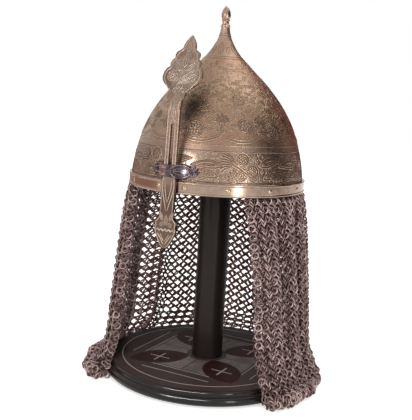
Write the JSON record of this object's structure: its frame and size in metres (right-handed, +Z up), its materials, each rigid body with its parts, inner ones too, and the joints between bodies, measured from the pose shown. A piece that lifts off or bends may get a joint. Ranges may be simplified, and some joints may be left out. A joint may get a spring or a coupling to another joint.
{
  "type": "spired helmet on display stand",
  "caption": "Spired brass helmet with sliding nasal bar and mail curtain, lifting off a turned column stand with an inlaid round base.",
  "frame": {"origin": "middle of the stand's felted underside, on the surface it stands on", "axes": "+Z up along the column and the bowl's axis, -Y towards the face opening and the nasal bar"},
  "size_m": [0.2934, 0.2615, 0.445],
  "materials": {
    "lacquered_wood": "gloss black lacquer",
    "petal_inlay": "dark stained veneer",
    "light_inlay": "pale shell-like inlay",
    "field_inlay": "grey stained veneer",
    "green_felt": "felt",
    "screw_steel": "zinc plated",
    "etched_brass": "etched, aged",
    "turned_brass": "turned, aged",
    "polished_brass": "worn bright",
    "sweatband_leather": "vegetable tanned",
    "darkened_steel": "darkened, edges worn bright",
    "mail_steel": "oil blackened, brownish",
    "nasal_brass": "etched, greyed"
  },
  "bodies": {
    "stand": {"stand_base": "lacquered_wood", "petal_inlays": "petal_inlay", "mark_inlays": "light_inlay", "field_inlays": "field_inlay", "line_inlays": "light_inlay", "base_felt": "green_felt", "stand_column": "lacquered_wood", "column_screw": "screw_steel", "helmet_rest": "lacquered_wood", "rest_pad": "green_felt", "rest_screw": "screw_steel"},
    "helmet": {"bowl": "etched_brass", "finial": "turned_brass", "brow_band": "polished_brass", "brow_band_rivets": "polished_brass", "sweatband": "sweatband_leather", "nasal_bracket": "darkened_steel", "bracket_rivets": "darkened_steel", "mail_curtain": "mail_steel"},
    "nasal": {"nasal_bar": "nasal_brass"},
    "clamp": {"clamp_screw": "polished_brass"}
  },
  "joints": [
    {"name": "helmet_lift", "type": "slide", "parent": "stand", "child": "helmet", "axis": [0, 0, 1], "range_m": [0, 0.4]},
    {"name": "nasal_slide", "type": "slide", "parent": "helmet", "child": "nasal", "axis": [0, 0.0558, 0.9984], "range_m": [-0.045, 0]},
    {"name": "clamp_turn", "type": "hinge", "parent": "helmet", "child": "clamp", "pos_m": [0, -0.1091, 0.2576], "axis": [0, 0.9984, -0.0558], "range_deg": [0, 270]}
  ]
}
